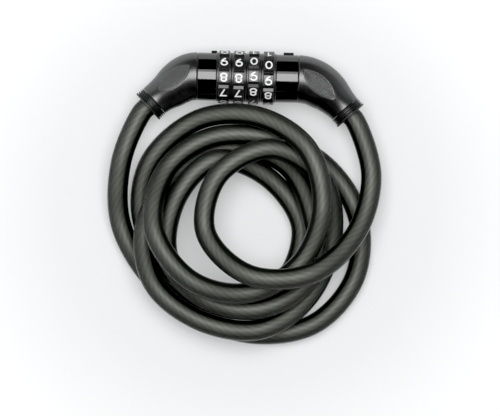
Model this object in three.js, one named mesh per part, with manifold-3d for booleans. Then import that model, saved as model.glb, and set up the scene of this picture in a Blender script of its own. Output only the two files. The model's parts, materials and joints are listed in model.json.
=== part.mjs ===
// Four-dial combination cable lock, coiled up and locked. Units: millimetres.
// The frame's origin is on the table, under the middle of the whole object; +Z is up.
// The lock's own axis runs along X. The cable coil lies on its -Y side, and the code is read from +Y.
// Everything below is laid out from the lock, whose axis is above x = 0, y = 0, and then moved as one.
import * as THREE from 'three';
import { mergeVertices } from 'three/addons/utils/BufferGeometryUtils.js';
import Module from 'manifold-3d';

const wasm = await Module();
wasm.setup();

// ---------------------------------------------------------------- driving dimensions
const gap = 0.3;                  // clearance between neighbouring pieces
const full = 2 * Math.PI;

const lock = { axisZ: 16, left: -28.8, right: 29.2 };

const dial = {
  count: 4,
  digits: 10,
  pitch: 8.6,                     // from one dial to the next along X
  firstX: -13.6,                  // centre of dial 1
  width: 8.2,
  cornerRadius: 15.4,             // to the corners of the flat digit pads
  padWidth: 6.2,                  // along X
  padHeight: 7.2,                 // round the dial
  baseRadius: 14.4,
  bore: 10.2,
};

const collar = {
  radius: 13.9,
  leftEnd: -18.2,                 // the collars' ends next to the dials
  rightEnd: 16.9,
  counterbore: 9.0,
};

const flange = { radius: 11.0, thickness: 2.6 };   // the discs that the sleeve and the plug hold a boot by
const sleeve = { outer: 6.6, inner: 4.4, left: -33.4, right: 28.4, slot: 2.8 };
const codeRing = { outer: 9.9, inner: 6.9, width: 5.6, gateDepth: 2.1, gateWidth: 3.0 };
const pin = { radius: 4.1, tip: -17.4, head: 31.2, toothReach: 8.6, toothWidth: 2.2 };
const spring = { width: 3.0, thickness: 0.45, seat: 5.95, length: 33 };
const clip = { x: 17.9, thickness: 1.0, outer: 8.2, inner: 6.0, groove: 5.7, mouth: 5.0 };

// The elbow of each boot: an arc, then a straight run. Angles are measured away from the lock's axis.
// Half way along, the boot is this much fuller than a plain taper inside and outside the bend.
const boots = {
  left: {
    side: -1, start: lock.left - 0.3, bendRadius: 21.9, bend: 43.6, straight: 18.3,
    fullInside: 1.9, fullOutside: -0.7,
  },
  right: {
    side: 1, start: lock.right + 0.3, bendRadius: 27.5, bend: 47.4, straight: 15.9,
    fullInside: 1.8, fullOutside: 0.4,
  },
};
const boot = {
  seamRadius: 13.9,
  mouthRadius: 9.6,
  wall: 2.3,
  reliefLength: 5.2,              // how much of the elbow the ribbed strain relief takes
  stations: 14,
  sides: 26,
};
const leaf = { depth: 0.8, halfWidth: 5.0 };      // the sunk grip on each boot
const relief = { ribRadius: 9.9, grooveRadius: 9.0, ribs: 3, flangeRadius: 10.1, rimBore: 8.2, bore: 6.4 };
const ferrule = { outer: 7.2, inner: 6.3, length: 8 };

// The cable: a stranded steel core in a plastic sheath.
const cable = {
  radius: 6.0,
  bore: 3.7,
  coreRadius: 3.4,
  sides: 12,
  coreSides: 6,
  steps: 150,
  cutY: -55,                      // where the closed loop is opened, on the straight run by the plug
  cutGap: 0.5,                    // half of the opening
};
const cableSink = cable.radius * (1 - Math.cos(Math.PI / cable.sides));   // a flat facet lies on the table

// Where the cable's centreline lies, from the plug's boot round six turns to the lock's boot.
// The heights are above the table for a round cable, so 6 lies flat on it.
const coil = [
  // turn 1: down the right side, over everything at the bottom right, small loop inside
  [73.4, -55, 16], [65.4, -88, 24], [39, -112.4, 43], [3.5, -113.6, 43], [-21.8, -89.4, 31],
  [-15, -57, 31],
  // turn 2
  [15, -41, 29], [45, -58, 21], [52, -92, 8], [39, -126, 11], [12, -146, 20], [-23, -142, 19],
  [-51, -121, 19], [-57, -89, 23], [-41, -58, 8],
  // turn 3
  [-12, -41, 6], [23, -49, 8], [40, -78, 22], [41, -113, 21], [12, -133, 24], [-22, -128, 23],
  [-43, -104, 30], [-38, -69, 22],
  // turn 4
  [-17, -48.3, 20.2], [14, -58, 10], [33.8, -86, 7], [23.5, -118.4, 7], [-8, -128, 7], [-39, -115, 14],
  [-59.2, -83, 6], [-55.4, -50.6, 10.5],
  // turn 5
  [-28, -25.3, 15.5], [7, -22.8, 25], [35.9, -41, 37.3], [45, -74, 39], [33, -107, 32], [3, -124.4, 34],
  [-29.4, -117.8, 42], [-51, -89.6, 41], [-45, -54, 22],
  // turn 6: the widest, lying on the table
  [-21, -36, 18], [14, -35, 17.3], [47, -50, 9], [66.6, -79, 7], [65.7, -114.3, 6], [43.4, -141.6, 6],
  [9, -148.8, 6], [-25.4, -138.9, 6], [-53.7, -117, 6], [-71.6, -86.2, 7], [-71.7, -50, 16],
];

// ---------------------------------------------------------------- materials
const looks = {
  glossBlack: { color: 0x0c0c0e, roughness: 0.12, metalness: 0 },
  satinBlack: { color: 0x1d1e20, roughness: 0.5, metalness: 0 },
  rubberBlack: { color: 0x17181a, roughness: 0.7, metalness: 0 },
  dialBlack: { color: 0x111214, roughness: 0.35, metalness: 0 },
  zinc: { color: 0xa7a9ab, roughness: 0.4, metalness: 1 },
  steel: { color: 0xc3c5c8, roughness: 0.25, metalness: 1 },
  brass: { color: 0xb08d48, roughness: 0.35, metalness: 1 },
  smokyPlastic: { color: 0x4a4b46, roughness: 0.3, metalness: 0 },
};

// ---------------------------------------------------------------- helpers
function toManifold(geometry) {
  const plain = geometry.index ? geometry.toNonIndexed() : geometry.clone();
  plain.deleteAttribute('normal');
  plain.deleteAttribute('uv');
  const merged = mergeVertices(plain, 1e-4);
  return new wasm.Manifold(new wasm.Mesh({
    numProp: 3,
    vertProperties: new Float32Array(merged.attributes.position.array),
    triVerts: new Uint32Array(merged.index.array),
  }));
}

function fromManifold(solid) {
  const mesh = solid.getMesh();
  const geometry = new THREE.BufferGeometry();
  geometry.setAttribute('position', new THREE.BufferAttribute(mesh.vertProperties, 3));
  geometry.setIndex(new THREE.BufferAttribute(mesh.triVerts, 1));
  return geometry;
}

// A solid of revolution about the lock's axis. The profile lists [x, radius] corners.
function turned(profile, sides = 32) {
  const points = profile.map(([x, r]) => new THREE.Vector2(r, x));
  points.push(points[0].clone());
  const geometry = new THREE.LatheGeometry(points, sides);
  geometry.rotateZ(-Math.PI / 2);
  geometry.translate(0, 0, lock.axisZ);
  const solid = toManifold(geometry);
  return solid.volume() < 0 ? toManifold(flipped(geometry)) : solid;
}

function flipped(geometry) {
  const plain = geometry.index ? geometry.toNonIndexed() : geometry.clone();
  const p = plain.attributes.position;
  const corner = new THREE.Vector3();
  const other = new THREE.Vector3();
  for (let i = 0; i < p.count; i += 3) {
    corner.fromBufferAttribute(p, i + 1);
    other.fromBufferAttribute(p, i + 2);
    p.setXYZ(i + 1, other.x, other.y, other.z);
    p.setXYZ(i + 2, corner.x, corner.y, corner.z);
  }
  return plain;
}

function tube(x0, x1, inner, outer, sides) {
  return turned([[x0, inner], [x1, inner], [x1, outer], [x0, outer]], sides);
}

// A box between two corners, given in the frame.
function block(x0, x1, y0, y1, z0, z1) {
  const geometry = new THREE.BoxGeometry(x1 - x0, y1 - y0, z1 - z0);
  geometry.translate((x0 + x1) / 2, (y0 + y1) / 2, (z0 + z1) / 2);
  return toManifold(geometry);
}

// A closed tube along stations. Each station has a centre, a direction in the XY plane, and two radii.
// With no inner radius the tube is solid. A station's fuller(side) adds to both radii; side runs from
// -1 to 1 across the section. A corner of the section never points straight down.
function swept(stations, sides) {
  const hollow = stations[0].inner > 0;
  const triangles = [];
  const up = new THREE.Vector3(0, 0, 1);
  const ringOf = (station, radius) => {
    const side = new THREE.Vector3().crossVectors(station.along, up).normalize();
    const top = new THREE.Vector3().crossVectors(side, station.along).normalize();
    const ring = [];
    for (let k = 0; k < sides; k += 1) {
      const angle = (full * (k + 0.5)) / sides - Math.PI / 2;
      const reach = radius + (station.fuller ? station.fuller(Math.cos(angle)) : 0);
      const point = station.at.clone();
      point.addScaledVector(side, reach * Math.cos(angle));
      point.addScaledVector(top, reach * Math.sin(angle));
      ring.push(point);
    }
    return ring;
  };
  const outer = stations.map((s) => ringOf(s, s.outer));
  const inner = hollow ? stations.map((s) => ringOf(s, s.inner)) : [];
  const quad = (a, b, c, d) => triangles.push(a, b, c, a, c, d);
  const last = stations.length - 1;
  for (let k = 0; k < sides; k += 1) {
    const n = (k + 1) % sides;
    for (let i = 0; i < last; i += 1) {
      quad(outer[i][k], outer[i][n], outer[i + 1][n], outer[i + 1][k]);
      if (hollow) quad(inner[i][n], inner[i][k], inner[i + 1][k], inner[i + 1][n]);
    }
    if (hollow) {
      quad(outer[0][n], outer[0][k], inner[0][k], inner[0][n]);
      quad(outer[last][k], outer[last][n], inner[last][n], inner[last][k]);
    } else {
      triangles.push(stations[0].at, outer[0][n], outer[0][k]);
      triangles.push(stations[last].at, outer[last][k], outer[last][n]);
    }
  }
  const geometry = new THREE.BufferGeometry().setFromPoints(triangles);
  const solid = toManifold(geometry);
  return solid.volume() < 0 ? toManifold(flipped(geometry)) : solid;
}

// A point and heading on a boot's elbow, at a distance from the seam.
function elbow(spec, distance) {
  const bend = THREE.MathUtils.degToRad(spec.bend);
  const arcLength = spec.bendRadius * bend;
  const turn = Math.min(distance / spec.bendRadius, bend);
  const rest = Math.max(distance - arcLength, 0);
  const x = spec.bendRadius * Math.sin(turn) + rest * Math.cos(bend);
  const y = -spec.bendRadius * (1 - Math.cos(turn)) - rest * Math.sin(bend);
  return {
    at: new THREE.Vector3(spec.start + spec.side * x, y, lock.axisZ),
    along: new THREE.Vector3(spec.side * Math.cos(turn), -Math.sin(turn), 0),
  };
}

function elbowLength(spec) {
  return spec.bendRadius * THREE.MathUtils.degToRad(spec.bend) + spec.straight;
}

const group = new THREE.Group();
group.name = 'cable_lock';

function add(name, solid, look) {
  const mesh = new THREE.Mesh(fromManifold(solid), new THREE.MeshStandardMaterial(looks[look]));
  mesh.name = name;
  group.add(mesh);
}

// ---------------------------------------------------------------- boots, strain reliefs and ferrules
function bootRadius(share) {
  return THREE.MathUtils.lerp(boot.seamRadius, boot.mouthRadius, THREE.MathUtils.smoothstep(share, 0, 1));
}

// The extra fullness round the boot's section: none at the seam and the mouth, most past half way.
function bootFullness(spec, share) {
  const swell = Math.sin(Math.PI * share ** 1.25) ** 2;
  return (side) => {
    const inside = (1 + spec.side * side) / 2;
    return swell * THREE.MathUtils.lerp(spec.fullOutside, spec.fullInside, inside);
  };
}

function bootSolid(spec, shrink, length) {
  const stations = [];
  for (let i = 0; i <= boot.stations; i += 1) {
    const share = i / boot.stations;
    const outer = bootRadius(share) - shrink;
    const inner = shrink ? 0 : outer - boot.wall;
    stations.push({ ...elbow(spec, share * length), outer, inner, fuller: bootFullness(spec, share) });
  }
  return swept(stations, boot.sides);
}

// A leaf outline between two tips, bounded by two arcs, pushed through the boot from top to bottom.
function leafPrism(from, to) {
  const half = from.distanceTo(to) / 2;
  const radius = (half * half + leaf.halfWidth * leaf.halfWidth) / (2 * leaf.halfWidth);
  const swing = Math.asin(half / radius);
  const shape = new THREE.Shape();
  shape.absarc(0, leaf.halfWidth - radius, radius, Math.PI / 2 + swing, Math.PI / 2 - swing, true);
  shape.absarc(0, radius - leaf.halfWidth, radius, -Math.PI / 2 + swing, -Math.PI / 2 - swing, true);
  const geometry = new THREE.ExtrudeGeometry(shape, { depth: 40, bevelEnabled: false, curveSegments: 10 });
  geometry.rotateZ(Math.atan2(to.y - from.y, to.x - from.x));
  geometry.translate((from.x + to.x) / 2, (from.y + to.y) / 2, lock.axisZ - 20);
  const solid = toManifold(geometry);
  return solid.volume() < 0 ? toManifold(flipped(geometry)) : solid;
}

const leafTips = {
  left: [new THREE.Vector2(-51.7, -9.2), new THREE.Vector2(-33.3, 6.1)],
  right: [new THREE.Vector2(50.5, -11.3), new THREE.Vector2(32.1, 4.7)],
};

for (const [name, spec] of Object.entries(boots)) {
  const total = elbowLength(spec);
  const length = total - boot.reliefLength - gap;
  const inside = bootSolid(spec, leaf.depth, length);
  const sunk = leafPrism(...leafTips[name]).subtract(inside);
  add(`${name}_boot`, bootSolid(spec, 0, length).subtract(sunk), 'satinBlack');

  // the ribbed end: ribs and grooves, then a wider flange with a hollow rim
  const ribStep = (boot.reliefLength - 1.6) / relief.ribs;
  const reliefStations = [];
  const station = (distance, outer, inner) => {
    reliefStations.push({ ...elbow(spec, length + gap + distance), outer, inner });
  };
  for (let i = 0; i < relief.ribs; i += 1) {
    station(i * ribStep, relief.ribRadius, relief.bore);
    station(i * ribStep + 0.7, relief.ribRadius, relief.bore);
    station(i * ribStep + 0.8, relief.grooveRadius, relief.bore);
    station((i + 1) * ribStep - 0.1, relief.grooveRadius, relief.bore);
  }
  station(relief.ribs * ribStep, relief.flangeRadius, relief.bore);
  station(relief.ribs * ribStep + 0.1, relief.flangeRadius, relief.rimBore);
  station(boot.reliefLength, relief.flangeRadius, relief.rimBore);
  add(`${name}_strain_relief`, swept(reliefStations, boot.sides), 'rubberBlack');

  const crimp = [0, 1].map((end) => ({
    ...elbow(spec, length - 1 - (1 - end) * ferrule.length),
    outer: ferrule.outer,
    inner: ferrule.inner,
  }));
  add(`${name}_ferrule`, swept(crimp, 24), 'zinc');
}

// ---------------------------------------------------------------- lock body
const slotCut = block(
  pin.tip - 1, sleeve.right + 1,
  -sleeve.slot / 2, sleeve.slot / 2,
  lock.axisZ, lock.axisZ + sleeve.outer + 4,
);
const springSeat = block(
  dial.firstX - dial.pitch / 2, dial.firstX - dial.pitch / 2 + spring.length + 2 * gap,
  -spring.width / 2 - gap, spring.width / 2 + gap,
  lock.axisZ - sleeve.outer - 1, lock.axisZ - spring.seat + gap,
);
const clipGroove = tube(clip.x - gap, clip.x + clip.thickness + gap, clip.groove, sleeve.outer + 1);
const sleeveBody = turned([
  [sleeve.left, sleeve.inner],
  [sleeve.right, sleeve.inner],
  [sleeve.right, sleeve.outer],
  [sleeve.left + flange.thickness, sleeve.outer],
  [sleeve.left + flange.thickness, flange.radius],
  [sleeve.left, flange.radius],
]);
add('lock_sleeve', sleeveBody.subtract(slotCut).subtract(springSeat).subtract(clipGroove), 'zinc');

const clipRing = tube(clip.x, clip.x + clip.thickness, clip.inner, clip.outer);
const clipMouth = block(
  clip.x - 1, clip.x + clip.thickness + 1,
  -clip.mouth / 2, clip.mouth / 2,
  lock.axisZ, lock.axisZ + clip.outer + 1,
);
add('retaining_clip', clipRing.subtract(clipMouth), 'steel');

const springX = dial.firstX - dial.pitch / 2 + gap;
add('detent_spring', block(
  springX, springX + spring.length,
  -spring.width / 2, spring.width / 2,
  lock.axisZ - spring.seat - spring.thickness, lock.axisZ - spring.seat,
), 'steel');

// the index bars show where the code is read
function indexBar(x0, x1) {
  return block(x0, x1, collar.radius - 0.6, collar.radius + 1.2, lock.axisZ - 0.9, lock.axisZ + 0.9);
}
const leftCollar = tube(lock.left, collar.leftEnd, sleeve.outer + gap, collar.radius, 44);
add('left_collar', leftCollar.add(indexBar(-21.8, collar.leftEnd)), 'glossBlack');

const rightCollar = turned([
  [collar.rightEnd, collar.counterbore],
  [clip.x + clip.thickness + gap, collar.counterbore],
  [clip.x + clip.thickness + gap, sleeve.outer + gap],
  [lock.right, sleeve.outer + gap],
  [lock.right, collar.radius],
  [collar.rightEnd, collar.radius],
], 44);
// the plug's teeth leave the lock through this keyway
const keyway = block(
  collar.rightEnd - 1, lock.right + 1,
  -sleeve.slot / 2, sleeve.slot / 2,
  lock.axisZ, lock.axisZ + collar.counterbore,
);
add('right_collar', rightCollar.subtract(keyway).add(indexBar(20.6, 26.4)), 'glossBlack');

// ---------------------------------------------------------------- dials and code rings
const padApothem = Math.sqrt(dial.cornerRadius ** 2 - (dial.padHeight / 2) ** 2);
const turnStep = full / dial.digits;
// how far each dial has been left turned from its exact click, in degrees about X
const dialSettle = [-2.6, -4.0, 1.3, -7.8];

for (let i = 0; i < dial.count; i += 1) {
  const x = dial.firstX + i * dial.pitch;
  let solid = tube(x - dial.width / 2, x + dial.width / 2, dial.bore, dial.baseRadius, 40);
  for (let k = 0; k < dial.digits; k += 1) {
    const pad = new THREE.BoxGeometry(dial.padWidth, dial.padHeight, padApothem - dial.bore - 1);
    pad.translate(x, 0, (padApothem + dial.bore + 1) / 2);
    pad.rotateX(k * turnStep - THREE.MathUtils.degToRad(dialSettle[i]));
    pad.translate(0, 0, lock.axisZ);
    solid = solid.add(toManifold(pad));
  }
  add(`dial_${i + 1}`, solid, 'dialBlack');

  const ring = tube(x - codeRing.width / 2, x + codeRing.width / 2, codeRing.inner, codeRing.outer);
  const gate = block(
    x - codeRing.width, x + codeRing.width,
    -codeRing.gateWidth / 2, codeRing.gateWidth / 2,
    lock.axisZ, lock.axisZ + codeRing.inner + codeRing.gateDepth,
  );
  add(`code_ring_${i + 1}`, ring.subtract(gate), 'brass');
}

// ---------------------------------------------------------------- plug
// one tooth waits to the right of each code ring, so that the dials turn freely
let plug = turned([
  [pin.tip, 0], [pin.head + flange.thickness, 0],
  [pin.head + flange.thickness, flange.radius], [pin.head, flange.radius],
  [pin.head, pin.radius], [pin.tip + 1, pin.radius], [pin.tip, pin.radius - 1],
], 32);
for (let i = 0; i < dial.count; i += 1) {
  const x = dial.firstX + (i + 0.5) * dial.pitch;
  plug = plug.add(block(
    x - pin.toothWidth / 2, x + pin.toothWidth / 2,
    -pin.toothWidth / 2, pin.toothWidth / 2,
    lock.axisZ + 2, lock.axisZ + pin.toothReach,
  ));
}
add('plug_pin', plug, 'steel');

// ---------------------------------------------------------------- cable
// Inside each boot the cable follows the elbow; between them it follows the coil.
const inBoot = 12;                // how far before the boot's mouth the cable starts
const lead = 4;                   // how far past the mouth it still runs straight
const rightRun = elbowLength(boots.right);
const leftRun = elbowLength(boots.left);
const alongBoot = [-inBoot, -2, lead];
const waypoints = [
  ...alongBoot.map((d) => elbow(boots.right, rightRun + d).at),
  ...coil.map(([x, y, z]) => new THREE.Vector3(x, y, z)),
  ...alongBoot.toReversed().map((d) => elbow(boots.left, leftRun + d).at),
];
const centreline = new THREE.CatmullRomCurve3(waypoints, false, 'centripetal');
centreline.arcLengthDivisions = 2000;

// where along the cable the loop is opened
function shareAtY(y) {
  let low = 0;
  let high = 0.05;
  for (let i = 0; i < 40; i += 1) {
    const mid = (low + high) / 2;
    if (centreline.getPointAt(mid).y > y) low = mid;
    else high = mid;
  }
  return low;
}

function cablePiece(from, to, steps, outer, inner, sides) {
  const stations = [];
  for (let i = 0; i <= steps; i += 1) {
    const share = THREE.MathUtils.lerp(from, to, i / steps);
    const at = centreline.getPointAt(share);
    const along = centreline.getTangentAt(share);
    at.z = Math.max(at.z, cable.radius) - cableSink;
    stations.push({ at, along, outer, inner });
  }
  return swept(stations, sides);
}

const plugCut = shareAtY(cable.cutY + cable.cutGap);
const coilCut = shareAtY(cable.cutY - cable.cutGap);
const plugSteps = 6;
const sheath = [cable.radius, cable.bore, cable.sides];
const core = [cable.coreRadius, 0, cable.coreSides];
add('cable_sheath', cablePiece(coilCut, 1, cable.steps, ...sheath), 'smokyPlastic');
add('cable_core', cablePiece(coilCut, 1, cable.steps, ...core), 'steel');
add('plug_cable_sheath', cablePiece(0, plugCut, plugSteps, ...sheath), 'smokyPlastic');
add('plug_cable_core', cablePiece(0, plugCut, plugSteps, ...core), 'steel');

// ---------------------------------------------------------------- origin
const extent = new THREE.Box3().setFromObject(group);
const middle = extent.getCenter(new THREE.Vector3());
for (const mesh of group.children) {
  mesh.geometry.translate(-middle.x, -middle.y, -extent.min.z);
}

export default group;
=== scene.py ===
import json
import math

import bmesh
import bpy
import numpy as np
from mathutils import Matrix, Vector


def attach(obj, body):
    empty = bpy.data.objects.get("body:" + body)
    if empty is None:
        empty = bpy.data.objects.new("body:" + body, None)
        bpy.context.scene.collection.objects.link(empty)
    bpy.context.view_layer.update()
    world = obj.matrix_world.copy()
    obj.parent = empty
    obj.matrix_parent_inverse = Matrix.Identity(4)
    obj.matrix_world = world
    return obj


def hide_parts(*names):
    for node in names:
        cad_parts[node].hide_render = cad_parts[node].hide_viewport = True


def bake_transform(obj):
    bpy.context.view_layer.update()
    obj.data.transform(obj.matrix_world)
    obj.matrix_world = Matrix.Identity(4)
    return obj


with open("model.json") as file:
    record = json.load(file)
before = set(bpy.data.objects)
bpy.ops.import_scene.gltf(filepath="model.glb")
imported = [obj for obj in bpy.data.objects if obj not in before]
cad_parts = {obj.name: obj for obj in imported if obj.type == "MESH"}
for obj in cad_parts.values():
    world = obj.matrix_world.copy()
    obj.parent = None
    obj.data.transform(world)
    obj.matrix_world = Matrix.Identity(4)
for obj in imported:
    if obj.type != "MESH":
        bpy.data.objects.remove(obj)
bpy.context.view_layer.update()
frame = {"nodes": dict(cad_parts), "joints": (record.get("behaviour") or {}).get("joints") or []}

# Lengths in this script are in millimetres, measured from the lock: its axis runs along X above
# x = 0, y = 0. place() turns them into the frame's metres.
MM = 0.001
axis_point = next(j for j in frame["joints"] if j["name"] == "dial_1_turn")["pos_m"]
LOCK_X, LOCK_Y = axis_point[0], axis_point[1]
AXIS_Z = axis_point[2] / MM
UP = Vector((0, 0, 1))
COIL_MIDDLE = (0, -85, 16)         # what the inside of every bend of the cable faces; the sheath is painted darker on the side facing it


def place(p):
    """A point in the script's millimetres as a point in the frame's metres."""
    return (p[0] * MM + LOCK_X, p[1] * MM + LOCK_Y, p[2] * MM)


# ------------------------------------------------------------------ materials
def new_material(name):
    mat = bpy.data.materials.new(name)
    mat.use_nodes = True
    nodes = mat.node_tree.nodes
    return mat, nodes, mat.node_tree.links, nodes["Principled BSDF"]


def noise(nodes, links, scale, detail=3.0, stretch=None):
    """A noise texture in the piece's own metres; scale is features per metre."""
    coord = nodes.new("ShaderNodeTexCoord")
    source = coord.outputs["Object"]
    if stretch:
        mapping = nodes.new("ShaderNodeMapping")
        mapping.inputs["Scale"].default_value = stretch
        links.new(source, mapping.inputs["Vector"])
        source = mapping.outputs["Vector"]
    tex = nodes.new("ShaderNodeTexNoise")
    tex.inputs["Scale"].default_value = scale
    tex.inputs["Detail"].default_value = detail
    links.new(source, tex.inputs["Vector"])
    return tex.outputs["Fac"]


def calc(nodes, links, operation, first, second=0.0):
    """One step of arithmetic between two sockets or plain numbers."""
    node = nodes.new("ShaderNodeMath")
    node.operation = operation
    for socket, value in zip(node.inputs, (first, second)):
        if isinstance(value, (int, float)):
            socket.default_value = value
        else:
            links.new(value, socket)
    return node.outputs["Value"]


def ramp(nodes, links, source, low, high, start=0.3, end=0.7):
    """Maps a 0 to 1 value onto colours or greys between low and high."""
    node = nodes.new("ShaderNodeValToRGB")
    elements = node.color_ramp.elements
    elements[0].position, elements[1].position = start, end
    for element, value in zip(elements, (low, high)):
        colour = (value,) * 3 if isinstance(value, (int, float)) else value
        element.color = (*colour, 1)
    links.new(source, node.inputs["Fac"])
    return node.outputs["Color"]


def bump(nodes, links, shader, height, strength, distance):
    node = nodes.new("ShaderNodeBump")
    node.inputs["Strength"].default_value = strength
    node.inputs["Distance"].default_value = distance
    links.new(height, node.inputs["Height"])
    links.new(node.outputs["Normal"], shader.inputs["Normal"])
    return node.outputs["Normal"]


GRAIN_STRENGTH = 0.5


def surface(name, dark, light, rough, metallic=0.0, grain=2500, depth=0.02, mottle=120, shine=0.5,
            stretch=None, ior=1.5):
    """A finish with a mottled colour, an uneven roughness and a fine grain. depth is in mm."""
    mat, nodes, links, shader = new_material(name)
    links.new(ramp(nodes, links, noise(nodes, links, mottle), dark, light), shader.inputs["Base Color"])
    links.new(ramp(nodes, links, noise(nodes, links, mottle * 3, 5), rough[0], rough[1]),
              shader.inputs["Roughness"])
    shader.inputs["Metallic"].default_value = metallic
    shader.inputs["Specular IOR Level"].default_value = shine
    shader.inputs["IOR"].default_value = ior
    bump(nodes, links, shader, noise(nodes, links, grain, 2, stretch), GRAIN_STRENGTH, depth * MM)
    return mat


def grey(value):
    return (value, value, value)


boot_mat = surface("satin_black_plastic", grey(0.003), grey(0.006), (0.28, 0.35), grain=4200, depth=0.02,
                   shine=1.0, ior=1.6)
grip_mat = surface("ribbed_grip_plastic", grey(0.034), grey(0.050), (0.36, 0.46), grain=4200, depth=0.02,
                   shine=0.9, ior=1.6)
relief_mat = surface("strain_relief_rubber", grey(0.005), grey(0.009), (0.3, 0.42), grain=3500, depth=0.02,
                     shine=0.8)
collar_mat = surface("gloss_black_plastic", grey(0.003), grey(0.005), (0.06, 0.11), grain=900, depth=0.002,
                     shine=1.0)
dial_mat = surface("dial_label_print", grey(0.006), grey(0.010), (0.3, 0.4), grain=3000, depth=0.01,
                   shine=1.0, ior=1.54)
barrel_mat = surface("dial_barrel_plastic", grey(0.010), grey(0.016), (0.18, 0.26), grain=3000, depth=0.006,
                     shine=0.7)
rim_mat = surface("dial_rim_plastic", grey(0.008), grey(0.014), (0.26, 0.34), grain=3000, depth=0.01,
                  shine=0.8)
bar_mat = surface("index_bar_plastic", grey(0.006), grey(0.010), (0.5, 0.6), grain=3000, depth=0.02,
                  shine=0.15)
white_mat = surface("numeral_white_paint", grey(0.80), grey(0.88), (0.4, 0.5), grain=4000, depth=0.006)
zinc_mat = surface("cast_zinc", grey(0.42), grey(0.52), (0.35, 0.5), metallic=1.0, grain=2200, depth=0.02)
# dark zinc for the sleeve, so that it glints less in the gaps between the dials
dark_zinc_mat = surface("dark_zinc", grey(0.05), grey(0.08), (0.4, 0.5), metallic=1.0, grain=2200,
                         depth=0.02)
steel_mat = surface("turned_steel", grey(0.55), grey(0.66), (0.2, 0.34), metallic=1.0, grain=900,
                    depth=0.01, stretch=(12, 1, 1))
brass_mat = surface("turned_brass", (0.52, 0.38, 0.16), (0.62, 0.46, 0.2), (0.25, 0.4), metallic=1.0,
                    grain=900, depth=0.01, stretch=(12, 1, 1))


WIRE_ANGLE = math.radians(38)      # how far the fine wires lean from the strand


def strand_material():
    """Bright steel strands. The UV map runs along the rope in u and round each strand in v."""
    mat, nodes, links, shader = new_material("wire_rope_strands")
    uv = nodes.new("ShaderNodeUVMap")
    uv.uv_map = "rope"
    split = nodes.new("ShaderNodeSeparateXYZ")
    links.new(uv.outputs["UV"], split.inputs["Vector"])
    between = nodes.new("ShaderNodeMath")
    between.operation = "PINGPONG"
    between.inputs[1].default_value = 0.5
    links.new(split.outputs["Y"], between.inputs[0])
    # the valleys between the strands are painted darker: painted shade
    shade = ramp(nodes, links, between.outputs["Value"], grey(1.0), grey(0.72), 0.0, 0.5)
    worn = ramp(nodes, links, noise(nodes, links, 55), grey(0.74), grey(1.0))
    shade_worn = nodes.new("ShaderNodeVectorMath")
    shade_worn.operation = "MULTIPLY"
    links.new(shade, shade_worn.inputs[0])
    links.new(worn, shade_worn.inputs[1])
    mapping = nodes.new("ShaderNodeMapping")
    mapping.inputs["Rotation"].default_value = (0, 0, WIRE_ANGLE)
    links.new(uv.outputs["UV"], mapping.inputs["Vector"])
    wires = nodes.new("ShaderNodeTexWave")
    wires.inputs["Scale"].default_value = 2.4
    wires.inputs["Distortion"].default_value = 0.4
    links.new(mapping.outputs["Vector"], wires.inputs["Vector"])
    steel = ramp(nodes, links, wires.outputs["Fac"], (0.56, 0.57, 0.53), (0.66, 0.67, 0.63), 0.2, 0.8)
    product = nodes.new("ShaderNodeVectorMath")
    product.operation = "MULTIPLY"
    links.new(steel, product.inputs[0])
    links.new(shade_worn.outputs["Vector"], product.inputs[1])
    links.new(product.outputs["Vector"], shader.inputs["Base Color"])
    shader.inputs["Metallic"].default_value = 0.35
    links.new(ramp(nodes, links, noise(nodes, links, 500), 0.5, 0.65), shader.inputs["Roughness"])
    bump(nodes, links, shader, wires.outputs["Fac"], 0.35, 0.1 * MM)
    return mat


PAINTED_SIDE_SHADE = 0.6                   # how much darker the sheath is painted on the inside of a bend than outside: painted shade
PAINTED_INSIDE_SHADE = 0.1                 # the painted shade the inside gets on top of that
SHEATH_ROUGH, SHEATH_COAT_ROUGH = 0.42, 0.12


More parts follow.
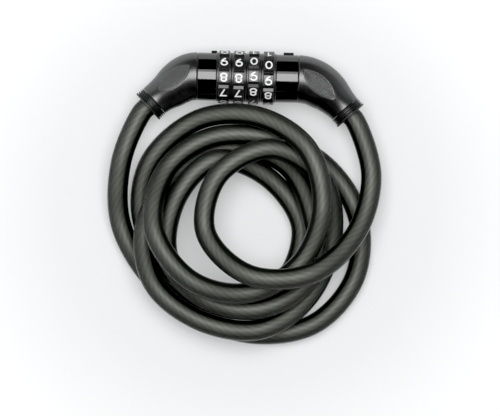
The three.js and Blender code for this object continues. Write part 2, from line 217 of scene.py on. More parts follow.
def sheath_material():
    """Smoky see-through plastic. On the side that faces the coil's middle it is painted darker and given less
    shine: painted shade.
    """
    mat, nodes, links, haze = new_material("smoky_clear_sheath")
    geometry = nodes.new("ShaderNodeNewGeometry")
    toward = nodes.new("ShaderNodeVectorMath")
    toward.operation = "SUBTRACT"
    toward.inputs[0].default_value = place(COIL_MIDDLE)
    links.new(geometry.outputs["Position"], toward.inputs[1])
    level = nodes.new("ShaderNodeVectorMath")
    level.operation = "MULTIPLY"
    level.inputs[1].default_value = (1, 1, 0)
    links.new(toward.outputs["Vector"], level.inputs[0])
    unit = nodes.new("ShaderNodeVectorMath")
    unit.operation = "NORMALIZE"
    links.new(level.outputs["Vector"], unit.inputs[0])
    dot = nodes.new("ShaderNodeVectorMath")
    dot.operation = "DOT_PRODUCT"
    links.new(unit.outputs["Vector"], dot.inputs[0])
    links.new(geometry.outputs["Normal"], dot.inputs[1])
    inward = calc(nodes, links, "MAXIMUM", dot.outputs["Value"], 0.0)
    facing = nodes.new("ShaderNodeLayerWeight")
    facing.inputs["Blend"].default_value = 0.5
    # painted shade: the side that faces the coil's middle is made darker and less clear
    side = calc(nodes, links, "MULTIPLY", dot.outputs["Value"], PAINTED_SIDE_SHADE)
    side = calc(nodes, links, "ADD", side, calc(nodes, links, "MULTIPLY", inward, PAINTED_INSIDE_SHADE))
    grazing_and_painted_shade = calc(nodes, links, "ADD", side, facing.outputs["Facing"])
    clear = nodes.new("ShaderNodeBsdfTransparent")
    links.new(ramp(nodes, links, grazing_and_painted_shade, (0.67, 0.68, 0.65), (0.045, 0.05, 0.045), 0.38, 0.64),
              clear.inputs["Color"])
    # less shine on the side facing the coil's middle: painted shade
    links.new(ramp(nodes, links, inward, grey(0.95), grey(0.1), 0.1, 0.5),
              haze.inputs["Specular IOR Level"])
    smoke = ramp(nodes, links, noise(nodes, links, 90), (0.7, 0.72, 0.66), grey(1.0))
    # the haze's colour is painted lighter facing out and darker facing the coil's middle: painted light and
    # shade
    body = ramp(nodes, links, dot.outputs["Value"], (0.056, 0.058, 0.053), (0.024, 0.026, 0.024), 0.0, 0.3)
    smoke_and_painted_shade = nodes.new("ShaderNodeVectorMath")
    smoke_and_painted_shade.operation = "MULTIPLY"
    links.new(smoke, smoke_and_painted_shade.inputs[0])
    links.new(body, smoke_and_painted_shade.inputs[1])
    links.new(smoke_and_painted_shade.outputs["Vector"], haze.inputs["Base Color"])
    haze.inputs["Roughness"].default_value = SHEATH_ROUGH
    links.new(ramp(nodes, links, facing.outputs["Facing"], grey(0.0), grey(1.0), 0.45, 0.8),
              haze.inputs["Coat Weight"])
    haze.inputs["Coat Roughness"].default_value = SHEATH_COAT_ROUGH
    haze.inputs["IOR"].default_value = 1.5
    bump(nodes, links, haze, noise(nodes, links, 260, 3), 0.25, 0.04 * MM)
    mix = nodes.new("ShaderNodeMixShader")
    links.new(ramp(nodes, links, facing.outputs["Facing"], grey(0.36), grey(0.8), 0.5, 0.95),
              mix.inputs["Fac"])
    links.new(clear.outputs["BSDF"], mix.inputs[1])
    links.new(haze.outputs["BSDF"], mix.inputs[2])
    links.new(mix.outputs["Shader"], nodes["Material Output"].inputs["Surface"])
    return mat


PAINTED_GLOW_SHARE = 0.32              # the share of the table's brightness that it gives off itself: a painted glow that lifts the shadows on it
GLOW_TRIM = 0.97                   # keeps the lit table just under pure white
BRIGHTER_FROM, BRIGHTER_TO = 0.11, 0.19     # metres from the middle over which the table's painted shade round the coil gives way to white


def table_material():
    """A white table that gives off part of its own brightness, a painted glow that lifts the shadows, and is
    a little darker towards the middle: painted shade round the coil.
    """
    mat, nodes, links, shader = new_material("white_table")
    coord = nodes.new("ShaderNodeTexCoord")
    distance = nodes.new("ShaderNodeVectorMath")
    distance.operation = "LENGTH"
    links.new(coord.outputs["Object"], distance.inputs[0])
    # painted shade: the table is darker round the coil, in the middle
    middle_shade_sweep = ramp(nodes, links, distance.outputs["Value"], (0.845, 0.85, 0.855), grey(1.0),
                 BRIGHTER_FROM, BRIGHTER_TO)
    paint = nodes.new("ShaderNodeVectorMath")
    paint.operation = "SCALE"
    paint.inputs["Scale"].default_value = 1 - PAINTED_GLOW_SHARE
    links.new(middle_shade_sweep, paint.inputs[0])
    links.new(paint.outputs["Vector"], shader.inputs["Base Color"])
    # painted glow: the table gives off light of its own
    links.new(middle_shade_sweep, shader.inputs["Emission Color"])
    shader.inputs["Emission Strength"].default_value = PAINTED_GLOW_SHARE * GLOW_TRIM
    links.new(ramp(nodes, links, noise(nodes, links, 40), 0.75, 0.9), shader.inputs["Roughness"])
    shader.inputs["Specular IOR Level"].default_value = 0.2
    bump(nodes, links, shader, noise(nodes, links, 600, 4), 0.1, 0.05 * MM)
    return mat


strand_mat = strand_material()
floor_mat = table_material()
sheath_mat = sheath_material()


# ------------------------------------------------------------------ mesh helpers
def make_piece(name, verts, faces, mat, smooth=True, sharp_deg=35):
    mesh = bpy.data.meshes.new(name)
    mesh.from_pydata([place(v) for v in verts], [], faces)
    mesh.validate()
    mesh.update()
    obj = bpy.data.objects.new(name, mesh)
    bpy.context.scene.collection.objects.link(obj)
    mesh.materials.append(mat)
    if smooth:
        mesh.shade_smooth()
        mesh.set_sharp_from_angle(angle=math.radians(sharp_deg))
    return obj


def join_meshes(parts):
    """(verts, faces) of several (verts, faces) pairs put together."""
    verts, faces = [], []
    for part_verts, part_faces in parts:
        start = len(verts)
        verts += list(part_verts)
        faces += [tuple(i + start for i in face) for face in part_faces]
    return verts, faces


def ring_faces(rings, sides, closed_loop=False):
    """Quads between successive rings of the same number of points."""
    faces = []
    spans = rings if closed_loop else rings - 1
    for i in range(spans):
        a, b = i * sides, ((i + 1) % rings) * sides
        for k in range(sides):
            n = (k + 1) % sides
            faces.append((a + k, a + n, b + n, b + k))
    return faces


def turned(profile, sides=96):
    """A closed solid of revolution about the lock's axis, from [x, radius] corners taken in order."""
    verts = []
    for x, r in profile:
        for k in range(sides):
            a = 2 * math.pi * k / sides
            verts.append((x, r * math.cos(a), AXIS_Z + r * math.sin(a)))
    return verts, ring_faces(len(profile), sides, closed_loop=True)


def rounded_box(size, bevel, matrix):
    """A box with rounded edges, moved by matrix, as (verts, faces)."""
    bm = bmesh.new()
    bmesh.ops.create_cube(bm, size=1.0)
    bmesh.ops.scale(bm, vec=size, verts=bm.verts)
    bmesh.ops.bevel(bm, geom=bm.edges[:], offset=bevel, segments=3, profile=0.5, affect="EDGES")
    bmesh.ops.transform(bm, matrix=matrix, verts=bm.verts)
    verts = [tuple(v.co) for v in bm.verts]
    bm.verts.index_update()
    faces = [tuple(v.index for v in f.verts) for f in bm.faces]
    bm.free()
    return verts, faces


def smoothstep(t):
    t = min(max(t, 0.0), 1.0)
    return t * t * (3 - 2 * t)


def bevelled(profile, size, steps=3):
    """The same closed profile of [x, radius] corners with each corner rounded off."""
    out = []
    count = len(profile)
    for i in range(count):
        corner = Vector(profile[i])
        before = (Vector(profile[i - 1]) - corner).normalized() * size
        after = (Vector(profile[(i + 1) % count]) - corner).normalized() * size
        for k in range(steps + 1):
            t = k / steps
            out.append(tuple(corner + before * (1 - t) ** 2 + after * t ** 2))
    return out


# ------------------------------------------------------------------ the boots' elbows
# An arc, then a straight run. full_in and full_out are how much fuller than a plain taper the boot is
# inside and outside its bend.
BOOTS = {
    "left": {"side": -1, "start": -29.1, "radius": 21.9, "bend": math.radians(43.6), "straight": 18.3,
             "full_in": 1.9, "full_out": -0.7},
    "right": {"side": 1, "start": 29.5, "radius": 27.5, "bend": math.radians(47.4), "straight": 15.9,
              "full_in": 1.8, "full_out": 0.4},
}
RELIEF = 5.2                       # length of the ribbed strain relief
SEAM_R, MOUTH_R = 13.9, 9.6
WALL = 2.3


def elbow(spec, distance):
    """(point, direction) on an elbow's centreline, at a distance from the seam."""
    turn = min(distance / spec["radius"], spec["bend"])
    rest = max(distance - spec["radius"] * spec["bend"], 0)
    x = spec["radius"] * math.sin(turn) + rest * math.cos(spec["bend"])
    y = -spec["radius"] * (1 - math.cos(turn)) - rest * math.sin(spec["bend"])
    along = Vector((spec["side"] * math.cos(turn), -math.sin(turn), 0))
    return Vector((spec["start"] + spec["side"] * x, y, AXIS_Z)), along


def elbow_length(spec):
    return spec["radius"] * spec["bend"] + spec["straight"]


# ------------------------------------------------------------------ the cable's centreline
COIL = [
    # turn 1: down the right side, over everything at the bottom right, small loop inside
    (73.4, -55, 16), (65.4, -88, 24), (39, -112.4, 43), (3.5, -113.6, 43), (-21.8, -89.4, 31), (-15, -57, 31),
    # turn 2
    (15, -41, 29), (45, -58, 21), (52, -92, 8), (39, -126, 11), (12, -145.5, 19.3), (-23, -141.8, 18.6),
    (-51, -121, 19), (-57, -89, 23), (-41, -58, 8),
    # turn 3
    (-12, -41, 6), (22.9, -49.2, 8), (39.3, -78.3, 22), (41, -113, 21), (12, -133.4, 24.8),
    (-22, -128.6, 23.2), (-43, -104, 30), (-38, -69, 22),
    # turn 4
    (-17, -48.3, 20.2), (14, -58, 10), (33.8, -86, 7), (23.5, -118.4, 7), (-8, -128, 7), (-39, -115, 14),
    (-59.2, -83, 6), (-55.4, -50.6, 10.5),
    # turn 5
    (-28, -25.3, 16.4), (7, -22.8, 26.4), (35.9, -41, 37.3), (45, -74, 39), (33, -107, 32), (3, -124.4, 34),
    (-29.4, -117.8, 42), (-51, -89.6, 41), (-45, -54, 22),
    # turn 6: the widest, lying on the table
    (-21, -35.7, 17.6), (14, -34.5, 16.6), (47, -50, 9), (66.6, -79, 7), (65.7, -114.3, 6), (43.4, -141.6, 6),
    (9, -148.8, 6), (-25.4, -138.9, 6), (-53.7, -117, 6), (-71.6, -86.2, 7), (-71.7, -50, 16),
]
CABLE_R = 6.0
SPAN_WAYPOINT = 2                  # the free span by the plug ends at this point of COIL


def catmull_rom(points, step):
    """A centripetal Catmull-Rom curve through the points, sampled about every step mm."""
    pts = [2 * points[0] - points[1]] + points + [2 * points[-1] - points[-2]]
    samples, marks = [], []
    for i in range(1, len(pts) - 2):
        p0, p1, p2, p3 = pts[i - 1:i + 3]
        t1 = np.linalg.norm(p1 - p0) ** 0.5
        t2 = t1 + np.linalg.norm(p2 - p1) ** 0.5
        t3 = t2 + np.linalg.norm(p3 - p2) ** 0.5
        count = max(2, round(np.linalg.norm(p2 - p1) / step))
        marks.append(len(samples))
        for k in range(count):
            t = t1 + (t2 - t1) * k / count
            a1 = p0 * (t1 - t) / t1 + p1 * t / t1
            a2 = p1 * (t2 - t) / (t2 - t1) + p2 * (t - t1) / (t2 - t1)
            a3 = p2 * (t3 - t) / (t3 - t2) + p3 * (t - t2) / (t3 - t2)
            b1 = a1 * (t2 - t) / t2 + a2 * t / t2
            b2 = a2 * (t3 - t) / (t3 - t1) + a3 * (t - t1) / (t3 - t1)
            samples.append(b1 * (t2 - t) / (t2 - t1) + b2 * (t - t1) / (t2 - t1))
    marks.append(len(samples))
    samples.append(points[-1])
    return np.array(samples), marks


ALONG_BOOT = (-12, -2, 4)          # where the cable is held straight, from each boot's mouth
way = [elbow(BOOTS["right"], elbow_length(BOOTS["right"]) + d)[0] for d in ALONG_BOOT]
way += [Vector(p) for p in COIL]
way += [elbow(BOOTS["left"], elbow_length(BOOTS["left"]) + d)[0] for d in reversed(ALONG_BOOT)]
path, marks = catmull_rom([np.array(p) for p in way], 1.5)
path[:, 2] = np.maximum(path[:, 2], CABLE_R)
span_stop = marks[len(ALONG_BOOT) + SPAN_WAYPOINT]

tangents = np.gradient(path, axis=0)
tangents /= np.linalg.norm(tangents, axis=1)[:, None]
run = np.concatenate([[0], np.cumsum(np.linalg.norm(np.diff(path, axis=0), axis=1))])
sides_dir = np.cross(tangents, np.array(UP))
sides_dir /= np.linalg.norm(sides_dir, axis=1)[:, None]
tops_dir = np.cross(sides_dir, tangents)


def cable_tube(name, first, last, every, sides, radius_at, mat, uv_at=None):
    """A tube along the path from sample first to last. radius_at(angles, run) gives each ring's radii."""
    index = list(range(first, last, every)) + [last]
    angle = 2 * np.pi * np.arange(sides) / sides
    rings = []
    for i in index:
        r = radius_at(angle, run[i])
        ring = path[i] + np.outer(r * np.cos(angle), sides_dir[i]) + np.outer(r * np.sin(angle), tops_dir[i])
        rings.append(ring)
    obj = make_piece(name, np.concatenate(rings).tolist(), ring_faces(len(index), sides), mat,
                     sharp_deg=80)
    if uv_at:
        layer = obj.data.uv_layers.new(name="rope")
        values = []
        for poly in obj.data.polygons:
            for v in poly.vertices:
                values += uv_at(angle[v % sides], run[index[v // sides]])
        layer.data.foreach_set("uv", values)
    return obj


STRANDS = 10
LAY = 56.0                         # the rope's lay: one full twist of its strands
CORE_R, VALLEY = 5.3, 0.32         # drawn as wide as the clear sheath makes the rope look


def rope_radius(angle, at):
    """The radius of the twisted rope, with a valley between each two strands."""
    lobe = STRANDS * (angle + 2 * math.pi * at / LAY) / 2
    return CORE_R - VALLEY * (1 - np.abs(np.cos(lobe)) ** 0.7)


def rope_uv(angle, at):
    """Lengthwise in u, and one unit of v for each strand."""
    turn = STRANDS * (angle / (2 * math.pi) + at / LAY)
    return [at / CABLE_R, turn]


def plain_radius(angle, at):
    return np.full(len(angle), CABLE_R)


last_sample = len(path) - 1
pieces = {}
for name, first, last in (("plug_span", 0, span_stop), ("coil", span_stop, last_sample)):
    core = cable_tube(f"cable_core_{name}", first, last, 1, 48, rope_radius, strand_mat, rope_uv)
    sheath = cable_tube(f"cable_sheath_{name}", first, last, 2, 40, plain_radius, sheath_mat)
    pieces[name] = (core, sheath)
for obj in pieces["coil"]:
    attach(obj, "lock")
for obj in pieces["plug_span"]:
    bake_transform(obj)
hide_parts("cable_core")
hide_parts("cable_sheath")
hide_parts("plug_cable_core")
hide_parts("plug_cable_sheath")


# ------------------------------------------------------------------ boots
LEAVES = {
    "left": (Vector((-51.7, -9.2)), Vector((-33.3, 6.1))),
    "right": (Vector((50.5, -11.3)), Vector((32.1, 4.7))),
}
LEAF_HALF_WIDTH = 5.0
LEAF_DEPTH, LEAF_STEP = 0.62, 0.10
LEAF_LIP = 0.6                     # the step at the outline reaches this far to either side of it
GRIP_RIB = 0.92                    # spacing of the fine ribs in the leaf
GRIP_RISE = 0.24                   # height of the ribs
GRIP_INSET = 0.8                   # how far the ribbed bed stops short of the leaf's tips
GRIP_SINK, GRIP_LIFT = 0.05, 0.12  # the bed's edge lies below the leaf's bed, its middle above it
GRIP_FADE = 0.5                    # the width over which it rises
LEAF_REACH = 0.3                   # the sine below which the boot's flanks have no leaf
BOOT_ROUNDING = 0.35               # how much the boot's ends are drawn in, over BOOT_EDGE
BOOT_EDGE = 0.5
SWELL_LEAN = 1.25                  # above 1, so the boot is fullest a little past its middle
JOINT_GAP = 0.15                   # between a boot and its strain relief


def leaf_shape(tips):
    """A leaf's middle, direction and half length, and the radius of the two arcs of its outline."""
    a, b = tips
    half = (b - a).length / 2
    arc_radius = (half ** 2 + LEAF_HALF_WIDTH ** 2) / (2 * LEAF_HALF_WIDTH)
    return (a + b) / 2, (b - a).normalized(), half, arc_radius


def leaf_place(tips, x, y):
    """How far along the leaf a place seen from above is, and how far inside its outline."""
    middle, axis, _, arc_radius = leaf_shape(tips)
    offset = Vector((x, y)) - middle
    u, v = offset.dot(axis), axis.x * offset.y - axis.y * offset.x
    return u, arc_radius - math.hypot(u, abs(v) + arc_radius - LEAF_HALF_WIDTH)


def leaf_depth(tips, x, y):
    """How far the flat bed of the grip lies below the boot's round surface at a place seen from above."""
    inside = leaf_place(tips, x, y)[1]
    share = min(1.0, max(0.0, inside / LEAF_HALF_WIDTH))
    return LEAF_DEPTH * share * (2 - share) + LEAF_STEP * smoothstep((inside + LEAF_LIP) / (2 * LEAF_LIP))


def boot_radius(spec, share, angle):
    """The boot's outer radius at a share of its length and an angle round it."""
    inside = (1 + spec["side"] * math.cos(angle)) / 2
    fuller = spec["full_out"] + (spec["full_in"] - spec["full_out"]) * inside
    swell = math.sin(math.pi * share ** SWELL_LEAN) ** 2
    return SEAM_R + (MOUTH_R - SEAM_R) * smoothstep(share) + swell * fuller


def boot_mesh(spec, tips, length):
    """A boot as one closed shell: the outside with its sunk leaves, then back along the inside."""
    stations, sides = 250, 112
    verts = []
    for i in range(stations + 1):
        share = i / stations
        at, along = elbow(spec, share * length)
        side = along.cross(UP)
        edge = min(share * length, (1 - share) * length)
        rounding = BOOT_ROUNDING * (1 - min(edge / BOOT_EDGE, 1)) ** 2
        for k in range(sides):
            a = 2 * math.pi * k / sides
            direction = side * math.cos(a) + UP * math.sin(a)
            point = at + direction * (boot_radius(spec, share, a) - rounding)
            if abs(math.sin(a)) > LEAF_REACH:
                point -= direction * leaf_depth(tips, point.x, point.y)
            verts.append(tuple(point))
    outer_rings = stations + 1
    inner_steps = 24
    for i in range(inner_steps, -1, -1):
        share = i / inner_steps
        at, along = elbow(spec, share * length)
        side = along.cross(UP)
        for k in range(sides):
            a = 2 * math.pi * k / sides
            radius = boot_radius(spec, share, a) - WALL
            verts.append(tuple(at + (side * math.cos(a) + UP * math.sin(a)) * radius))
    faces = ring_faces(outer_rings + inner_steps + 1, sides, closed_loop=True)
    if spec["side"] > 0:
        return verts, faces
    return verts, [face[::-1] for face in faces]


def boot_height(spec, length, x, y):
    """How high the boot's plain surface stands over the lock's axis at a place seen from above."""
    low, high = 0.0, length
    for _ in range(24):
        middle = (low + high) / 2
        at, along = elbow(spec, middle)
        if (x - at.x) * along.x + (y - at.y) * along.y > 0:
            low = middle
        else:
            high = middle
    at, along = elbow(spec, low)
    across = along.cross(UP)
    offset = (x - at.x) * across.x + (y - at.y) * across.y
    rise = math.sqrt(SEAM_R ** 2 - offset ** 2)
    for _ in range(4):
        radius = boot_radius(spec, low / length, math.atan2(rise, offset))
        rise = math.sqrt(max(radius ** 2 - offset ** 2, 0.01))
    return rise


def grip_mesh(spec, tips, length, up):
    """The finely ribbed bed of a leaf grip, on the top (up = 1) or the underside (up = -1)."""
    middle, axis, half, arc_radius = leaf_shape(tips)
    across = Vector((-axis.y, axis.x))
    columns, rows = round(2 * half / GRIP_RIB * 8), 14
    verts, faces = [], []
    for i in range(columns + 1):
        u = (i / columns - 0.5) * 2 * (half - GRIP_INSET)
        reach = math.sqrt(arc_radius ** 2 - u ** 2) - arc_radius + LEAF_HALF_WIDTH
        rib = GRIP_RISE * (0.5 + 0.5 * math.cos(2 * math.pi * u / GRIP_RIB)) ** 0.8
        for j in range(rows + 1):
            v = (j / rows - 0.5) * 2 * reach
            spot = middle + axis * u + across * v
            edge = smoothstep(min(j, rows - j) / rows * 2 * reach / GRIP_FADE)
            drop = leaf_depth(tips, spot.x, spot.y) + GRIP_SINK - (rib + GRIP_LIFT) * edge
            verts.append((spot.x, spot.y, AXIS_Z + up * (boot_height(spec, length, spot.x, spot.y) - drop)))
    for i in range(columns):
        for j in range(rows):
            start = i * (rows + 1) + j
            faces.append((start, start + 1, start + rows + 2, start + rows + 1)[::-up])
    return verts, faces


def relief_profile():
    """(distance, radius) along the ribbed end, outside then back through the bore."""
    rib_r, groove_r, flange_r, bore, rim = 9.95, 8.9, 10.1, 6.25, 8.2
    ribs, flange = 3, 1.4
    pitch = (RELIEF - flange) / ribs
    out = [(0.0, groove_r)]
    for i in range(ribs):
        for t in np.linspace(0.05, 0.95, 9):
            bulge = max(0.0, math.sin(math.pi * (t - 0.05) / 0.72)) if t < 0.77 else 0.0
            out.append(((i + t) * pitch, groove_r + (rib_r - groove_r) * bulge ** 0.5))
    start = RELIEF - flange
    for a in np.linspace(-math.pi / 2, math.pi / 2, 9):
        centre, half = start + flange / 2, flange / 2
        out.append((centre + half * math.sin(a), flange_r - half + half * math.cos(a)))
    out += [(RELIEF, rim + 0.25), (RELIEF - 0.25, rim), (RELIEF - 2.2, rim - 0.5), (RELIEF - 2.4, bore)]
    out += [(0.3, bore), (0.0, bore + 0.3)]
    return out


def relief_mesh(spec, start):
    """The ribbed end ring, from start along the elbow."""
    sides = 96
    verts = []
    profile = relief_profile()
    for distance, radius in profile:
        at, along = elbow(spec, start + distance)
        side = along.cross(UP)
        for k in range(sides):
            a = 2 * math.pi * k / sides
            verts.append(tuple(at + (side * math.cos(a) + UP * math.sin(a)) * radius))
    faces = ring_faces(len(profile), sides, closed_loop=True)
    if spec["side"] > 0:
        return verts, faces
    return verts, [face[::-1] for face in faces]


for name, spec in BOOTS.items():
    body = "plug" if name == "right" else "lock"
    length = elbow_length(spec) - RELIEF - JOINT_GAP
    obj = make_piece(f"{name}_boot_shell", *boot_mesh(spec, LEAVES[name], length), boot_mat, sharp_deg=50)
    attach(obj, body)
    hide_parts(f"{name}_boot")
    for side_name, up in (("top", 1), ("under", -1)):
        grip = grip_mesh(spec, LEAVES[name], length, up)
        obj = make_piece(f"{name}_boot_grip_{side_name}", *grip, grip_mat, sharp_deg=80)
        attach(obj, body)
    obj = make_piece(f"{name}_relief_ribs", *relief_mesh(spec, length + JOINT_GAP), relief_mat, sharp_deg=50)
    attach(obj, body)
    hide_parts(f"{name}_strain_relief")


# ------------------------------------------------------------------ collars
COLLAR_R, COLLAR_BORE, COLLAR_BEVEL = 13.9, 6.95, 0.35
BAR_SIZE, BAR_BEVEL = 1.8, 0.25
BAR_OUT = 0.3                      # how far the bar's middle stands off the collar's surface


def index_bar(x0, x1):
    """The raised mark on the collar's +Y side, where the code is read."""
    middle = Matrix.Translation(((x0 + x1) / 2, COLLAR_R + BAR_OUT, AXIS_Z))
    return rounded_box((x1 - x0, BAR_SIZE, BAR_SIZE), BAR_BEVEL, middle)


# Where each collar starts and ends, then where its index bar does.
COLLARS = {"left": (-28.9, -17.96, -21.2, -18.0), "right": (16.56, 29.3, 20.6, 26.4)}
for name, (x0, x1, bar0, bar1) in COLLARS.items():
    profile = bevelled([(x0, COLLAR_BORE), (x0, COLLAR_R), (x1, COLLAR_R), (x1, COLLAR_BORE)], COLLAR_BEVEL)
    shell = turned(profile, 128)
    collar = make_piece(f"{name}_collar_shell", *shell, collar_mat)
    bar = make_piece(f"{name}_collar_index_bar", *index_bar(bar0, bar1), bar_mat)
    for obj in (collar, bar):
        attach(obj, "lock")
        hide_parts(f"{name}_collar")


# ------------------------------------------------------------------ dials
DIALS, DIGITS = 4, 10
FIRST_X, PITCH = -13.6, 8.6
CORNER_R, BASE_R, BORE_R = 15.4, 14.2, 10.2
NOTCH_R = 14.4                     # the bottom of the V-shaped notch between two digits
PAD_X, PAD_Y = 6.2, 6.2
APOTHEM = math.sqrt(CORNER_R ** 2 - (PAD_Y / 2) ** 2)
STEP = 2 * math.pi / DIGITS
SHOWN = (8, 8, 9, 9)               # the digit on top of each dial
SETTLE = (-2.6, -4.0, 1.3, -7.8)   # degrees off its click, towards +Y
DIGIT_WIDTH, DIGIT_HEIGHT, PEN = 4.3, 5.3, 0.88
RIM_HALF = 4.26                    # half the width of a dial's low rims, which almost meet the next dial's
RIM_BEVEL = 0.4
SOFTEN = 0.006                     # radians by which the corners of a flat are cut back
CORNER_CUT = 0.03
NOTCH_HALF = 0.004                 # half the notch's bottom, in radians
EDGE_CHAMFER = 0.3
LABEL_MARGIN, LABEL_THICK, LABEL_BEVEL = 0.5, 0.6, 0.12
LABEL_SINK = 0.27                  # from the flat down to the middle of the label
NUMERAL_LIFT = 0.06                # from the flat up to the numeral's base


def on_dial(i, slot, extra=0.0):
    """Moves something built on top of the dial, at the axis, to a place round dial i."""
    x = FIRST_X + i * PITCH
    turn = -(slot + extra) * STEP - math.radians(SETTLE[i])
    return Matrix.Translation((x, 0, AXIS_Z)) @ Matrix.Rotation(turn, 4, "X")


def arc(cx, cy, rx, ry, start, stop, count=24):
    """Points on part of an ellipse, angles in degrees."""
    return [(cx + rx * math.cos(a), cy + ry * math.sin(a))
            for a in (math.radians(start + (stop - start) * i / count) for i in range(count + 1))]


def strokes(value):
    """The pen strokes of a plain rounded numeral, in half widths and half heights of the numeral."""
    six = [arc(0, -0.36, 1, 0.64, 0, 360), arc(0.9, -0.36, 1.9, 1.45, 180, 106)]
    return {
        0: [arc(0, 0, 1, 1, 0, 360, 40)],
        1: [[(-0.55, 0.55), (0.25, 1), (0.25, -1)]],
        2: [arc(0, 0.42, 0.92, 0.58, 165, -35) + [(-0.95, -1), (1, -1)]],
        3: [arc(0, 0.5, 0.85, 0.5, 150, -90), arc(0, -0.48, 1, 0.52, 90, -150)],
        4: [[(0.95, -0.42), (-1, -0.42), (0.4, 1), (0.4, -1)]],
        5: [[(0.85, 1), (-0.7, 1)] + arc(0, -0.36, 1, 0.64, 132, -140)],
        6: six,
        7: [[(-0.95, 1), (0.95, 1), (-0.3, -1)]],
        8: [arc(0, 0.5, 0.84, 0.5, 0, 360), arc(0, -0.46, 1, 0.54, 0, 360)],
        9: [[(-x, -y) for x, y in stroke] for stroke in six],
    }[value]


def pen_line(points):
    """A flat line with round ends along points, as (verts, faces), standing on z = 0."""
    closed = math.dist(points[0], points[-1]) < 1e-6
    pts = [Vector(p) for p in points]
    half = PEN / 2
    stations = []
    if closed:
        pts = pts[:-1]
        for i, at in enumerate(pts):
            way = (pts[(i + 1) % len(pts)] - pts[i - 1]).normalized()
            stations.append((at, Vector((-way.y, way.x)), half))
    else:
        for i, at in enumerate(pts):
            into = (at - pts[i - 1]).normalized() if i else (pts[1] - at).normalized()
            out = (pts[i + 1] - at).normalized() if i < len(pts) - 1 else into
            way = (into + out).normalized()
            widen = half / max(way.dot(into), 0.5)
            stations.append((at, Vector((-way.y, way.x)), widen))
        for end, way in ((0, pts[0] - pts[1]), (-1, pts[-1] - pts[-2])):
            way = way.normalized()
            side = stations[end][1]
            cap = [(pts[end] + way * half * math.sin(a), side, half * math.cos(a))
                   for a in (math.radians(d) for d in (25, 50, 72, 86))]
            stations = cap[::-1] + stations if end == 0 else stations + cap
    verts = []
    for at, side, reach in stations:
        for across, height in ((-1, -0.1), (-1, 0.0), (-0.8, 0.04), (0.8, 0.04), (1, 0.0), (1, -0.1)):
            point = at + side * reach * across
            verts.append((point.x, point.y, height))
    faces = ring_faces(len(stations), 6, closed_loop=closed)
    if not closed:
        faces += [tuple(range(6))[::-1], tuple(range(len(verts) - 6, len(verts)))]
    return verts, faces


def numeral(value):
    """(verts, faces) of a numeral in millimetres, centred, facing +Z with its top towards -Y."""
    scale = ((DIGIT_WIDTH - PEN) / 2, (DIGIT_HEIGHT - PEN) / 2)
    lines = [pen_line([(-x * scale[0], -y * scale[1]) for x, y in stroke]) for stroke in strokes(value)]
    verts, faces = join_meshes(lines)
    return verts, faces


numerals = [numeral(v) for v in range(DIGITS)]


def dial_barrel(i):
    """The raised middle of a dial: a flat for each digit and a notch between two flats."""
    half_flat = math.asin(PAD_Y / 2 / CORNER_R)
    corners = []
    for k in range(DIGITS):
        middle = -k * STEP - math.radians(SETTLE[i])
        flat_end = APOTHEM / math.cos(half_flat - SOFTEN)
        corners += [(middle - half_flat + SOFTEN, flat_end),
                    (middle - half_flat - SOFTEN, CORNER_R - CORNER_CUT),
                    (middle - STEP / 2 + NOTCH_HALF, NOTCH_R),
                    (middle - STEP / 2 - NOTCH_HALF, NOTCH_R),
                    (middle - STEP + half_flat + SOFTEN, CORNER_R - CORNER_CUT),
                    (middle - STEP + half_flat - SOFTEN, flat_end)]
    sides = len(corners)
    x = FIRST_X + i * PITCH
    half = PAD_X / 2
    # Each ring is a place along the axis, and either its radius or how far it lies inside the outline.
    rings = ((x - half, BORE_R, 0), (x - half, None, EDGE_CHAMFER), (x - half + EDGE_CHAMFER, None, 0),
             (x + half - EDGE_CHAMFER, None, 0), (x + half, None, EDGE_CHAMFER), (x + half, BORE_R, 0))
    verts = []
    for at, radius, inside in rings:
        for angle, reach in corners:
            r = radius or reach - inside
            verts.append((at, -r * math.sin(angle), AXIS_Z + r * math.cos(angle)))
    return verts, ring_faces(len(rings), sides, closed_loop=True)


for i in range(DIALS):
    x = FIRST_X + i * PITCH
    rims = turned(bevelled([(x - RIM_HALF, BORE_R), (x - RIM_HALF, BASE_R), (x + RIM_HALF, BASE_R),
                            (x + RIM_HALF, BORE_R)], RIM_BEVEL), 120)
    labels, signs = [], []
    for k in range(DIGITS):
        lift = Matrix.Translation((0, 0, APOTHEM - LABEL_SINK))
        label_size = (PAD_X - LABEL_MARGIN, PAD_Y - LABEL_MARGIN, LABEL_THICK)
        labels.append(rounded_box(label_size, LABEL_BEVEL, on_dial(i, k) @ lift))
        verts, faces = numerals[(SHOWN[i] + k) % DIGITS]
        matrix = on_dial(i, k) @ Matrix.Translation((0, 0, APOTHEM + NUMERAL_LIFT))
        signs.append(([tuple(matrix @ Vector(point)) for point in verts], faces))
    for name, parts, mat in (("barrel", [dial_barrel(i)], barrel_mat), ("rims", [rims], rim_mat),
                             ("labels", labels, dial_mat), ("numerals", signs, white_mat)):
        obj = make_piece(f"dial_{i + 1}_{name}", *join_meshes(parts), mat, smooth=name != "numerals",
                         sharp_deg=28)
        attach(obj, f"wheel_{i + 1}")
        if name == "barrel":
            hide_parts(f"dial_{i + 1}")


# ------------------------------------------------------------------ the inner parts keep their CAD shapes
INNER = {
    "lock_sleeve": dark_zinc_mat, "left_ferrule": zinc_mat, "right_ferrule": zinc_mat,
    "retaining_clip": steel_mat, "detent_spring": steel_mat, "plug_pin": steel_mat,
    "code_ring_1": brass_mat, "code_ring_2": brass_mat, "code_ring_3": brass_mat,
    "code_ring_4": brass_mat,
}
for name, mat in INNER.items():
    node = frame["nodes"][name]
    node.data.materials.clear()
    node.data.materials.append(mat)


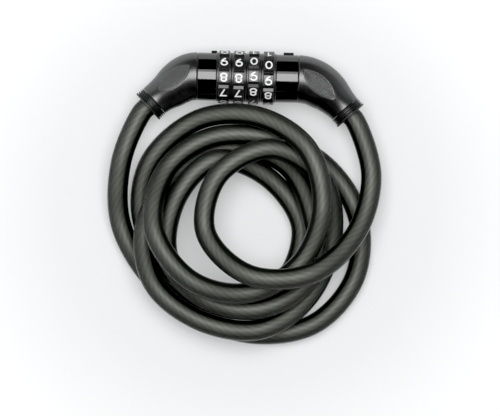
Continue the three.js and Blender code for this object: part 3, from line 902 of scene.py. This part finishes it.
# ------------------------------------------------------------------ table, light and camera
floor_mesh = bpy.data.meshes.new("table_top")
reach = 3.0
floor_mesh.from_pydata([(-reach, -reach, 0), (reach, -reach, 0), (reach, reach, 0), (-reach, reach, 0)],
                       [], [(0, 1, 2, 3)])
floor = bpy.data.objects.new("table_top", floor_mesh)
bpy.context.scene.collection.objects.link(floor)
floor_mesh.materials.append(floor_mat)

scene = bpy.context.scene


WALL_TOP = (0.45, 0.80)            # where the side walls fade out, as the sine of the elevation
WALL_LIGHT = 1.25
WALL_LEAN = 0.5                    # how much brighter the left wall is than the right one
FILL_LIGHT = 0.31
BACKDROP = 0.8                     # what the camera sees past the edge of the table
BLACK_LEVEL = 0.009                # how dark a tone must be to print as black


def studio_world():
    """Pale walls low down to the left and right for shiny light, an even fill for diffuse light, and a
    pale backdrop for the camera."""
    world = bpy.data.worlds.new("studio")
    world.use_nodes = True
    nodes, links = world.node_tree.nodes, world.node_tree.links
    background = nodes["Background"]
    coord = nodes.new("ShaderNodeTexCoord")
    split = nodes.new("ShaderNodeSeparateXYZ")
    links.new(coord.outputs["Generated"], split.inputs["Vector"])

    sideways = calc(nodes, links, "POWER", calc(nodes, links, "ABSOLUTE", split.outputs["X"], 0), 2)
    low = nodes.new("ShaderNodeMapRange")
    low.interpolation_type = "SMOOTHSTEP"
    low.inputs["From Min"].default_value = WALL_TOP[0]
    low.inputs["From Max"].default_value = WALL_TOP[1]
    low.inputs["To Min"].default_value = WALL_LIGHT
    low.inputs["To Max"].default_value = 0.0
    links.new(split.outputs["Z"], low.inputs["Value"])
    lean = calc(nodes, links, "SUBTRACT", 1, calc(nodes, links, "MULTIPLY", split.outputs["X"], WALL_LEAN))
    walls = calc(nodes, links, "MULTIPLY", sideways, low.outputs["Result"])
    walls = calc(nodes, links, "MULTIPLY", walls, lean)
    path = nodes.new("ShaderNodeLightPath")
    fill = calc(nodes, links, "MULTIPLY", path.outputs["Is Diffuse Ray"], FILL_LIGHT)
    shiny = calc(nodes, links, "SUBTRACT", 1, path.outputs["Is Diffuse Ray"])
    shiny = calc(nodes, links, "SUBTRACT", shiny, path.outputs["Is Camera Ray"])
    seen = calc(nodes, links, "MULTIPLY", path.outputs["Is Camera Ray"], BACKDROP)
    total = calc(nodes, links, "ADD", calc(nodes, links, "MULTIPLY", walls, shiny), fill)
    links.new(calc(nodes, links, "ADD", total, seen), background.inputs["Strength"])
    background.inputs["Color"].default_value = (0.95, 0.98, 1.0, 1)
    return world


scene.world = studio_world()
scene.view_settings.view_transform = "Standard"
scene.view_settings.use_curve_mapping = True
scene.view_settings.curve_mapping.black_level = (BLACK_LEVEL,) * 3
scene.view_settings.curve_mapping.update()


SOFTBOX_HEIGHT, SOFTBOX_WIDTH = 1.2, 0.95


def softbox(name, y, size_x, size_y, power):
    """A rectangular lamp that hangs level over the table, its middle at y. Metres and watts."""
    data = bpy.data.lights.new(name, "AREA")
    data.shape = "RECTANGLE"
    data.size, data.size_y = size_x, size_y
    data.energy = power
    obj = bpy.data.objects.new(name, data)
    obj.location = (0, y, SOFTBOX_HEIGHT)
    obj.visible_camera = False
    scene.collection.objects.link(obj)


softbox("overhead", 0.15, SOFTBOX_WIDTH, 0.76, 12.9)
softbox("overhead_back", 0.67, SOFTBOX_WIDTH, 0.27, 1.8)

SENSOR_WIDTH = 36                  # millimetres
FRAME_WIDTH = 0.290                # metres across the picture at the lock's height
CAMERA_HEIGHT = 2.0                # metres above the lock's axis, which is CAMERA_BASE above the table
CAMERA_BASE = 0.016
CAMERA_X, CAMERA_Y = 0.0036, -0.0059
CAMERA_ROLL = math.radians(1.6)
camera_data = bpy.data.cameras.new("camera")
camera_data.sensor_width = SENSOR_WIDTH
camera_data.lens = SENSOR_WIDTH * CAMERA_HEIGHT / FRAME_WIDTH
camera = bpy.data.objects.new("camera", camera_data)
camera.location = (CAMERA_X, CAMERA_Y, CAMERA_HEIGHT + CAMERA_BASE)
camera.rotation_euler = (0, 0, CAMERA_ROLL)
scene.collection.objects.link(camera)
scene.camera = camera
